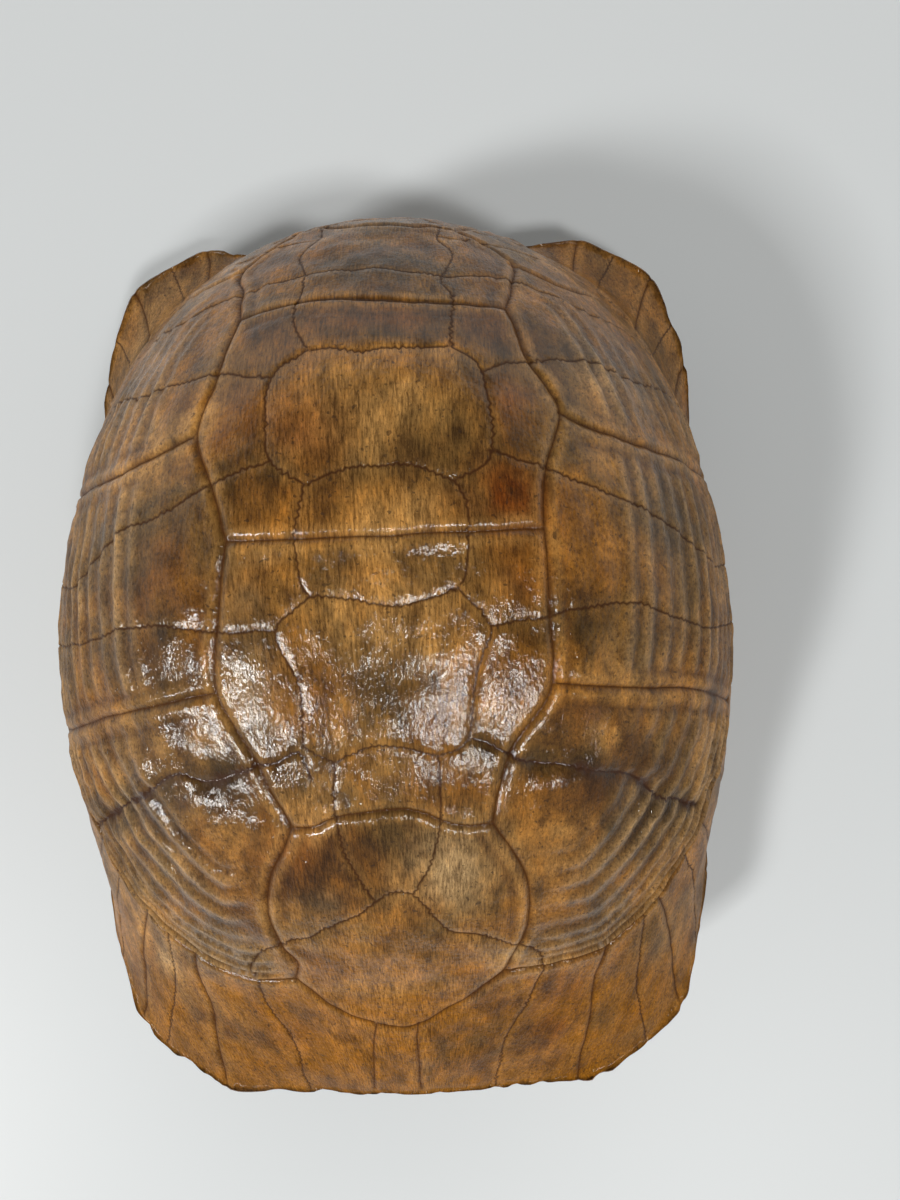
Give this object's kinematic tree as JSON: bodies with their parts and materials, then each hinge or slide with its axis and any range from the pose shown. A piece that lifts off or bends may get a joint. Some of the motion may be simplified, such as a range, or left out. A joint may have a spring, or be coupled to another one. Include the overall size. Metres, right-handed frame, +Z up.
{
  "type": "turtle shell",
  "caption": "Hollow bony shell of a land tortoise: a domed carapace with scute furrows, joined by two bridges to a flat plastron, open in front and behind.",
  "frame": {"origin": "middle of the bounding box's base, on the surface that the plastron rests on", "axes": "+Z up, -Y to the head end, +X to the right when seen from above with the head end nearest"},
  "size_m": [0.1786, 0.2416, 0.1073],
  "materials": {
    "varnished_bone": "glossy varnish over mottled tan, golden-brown and olive bone"
  },
  "bodies": {
    "root": {"tortoise_shell": "varnished_bone"}
  },
  "joints": []
}
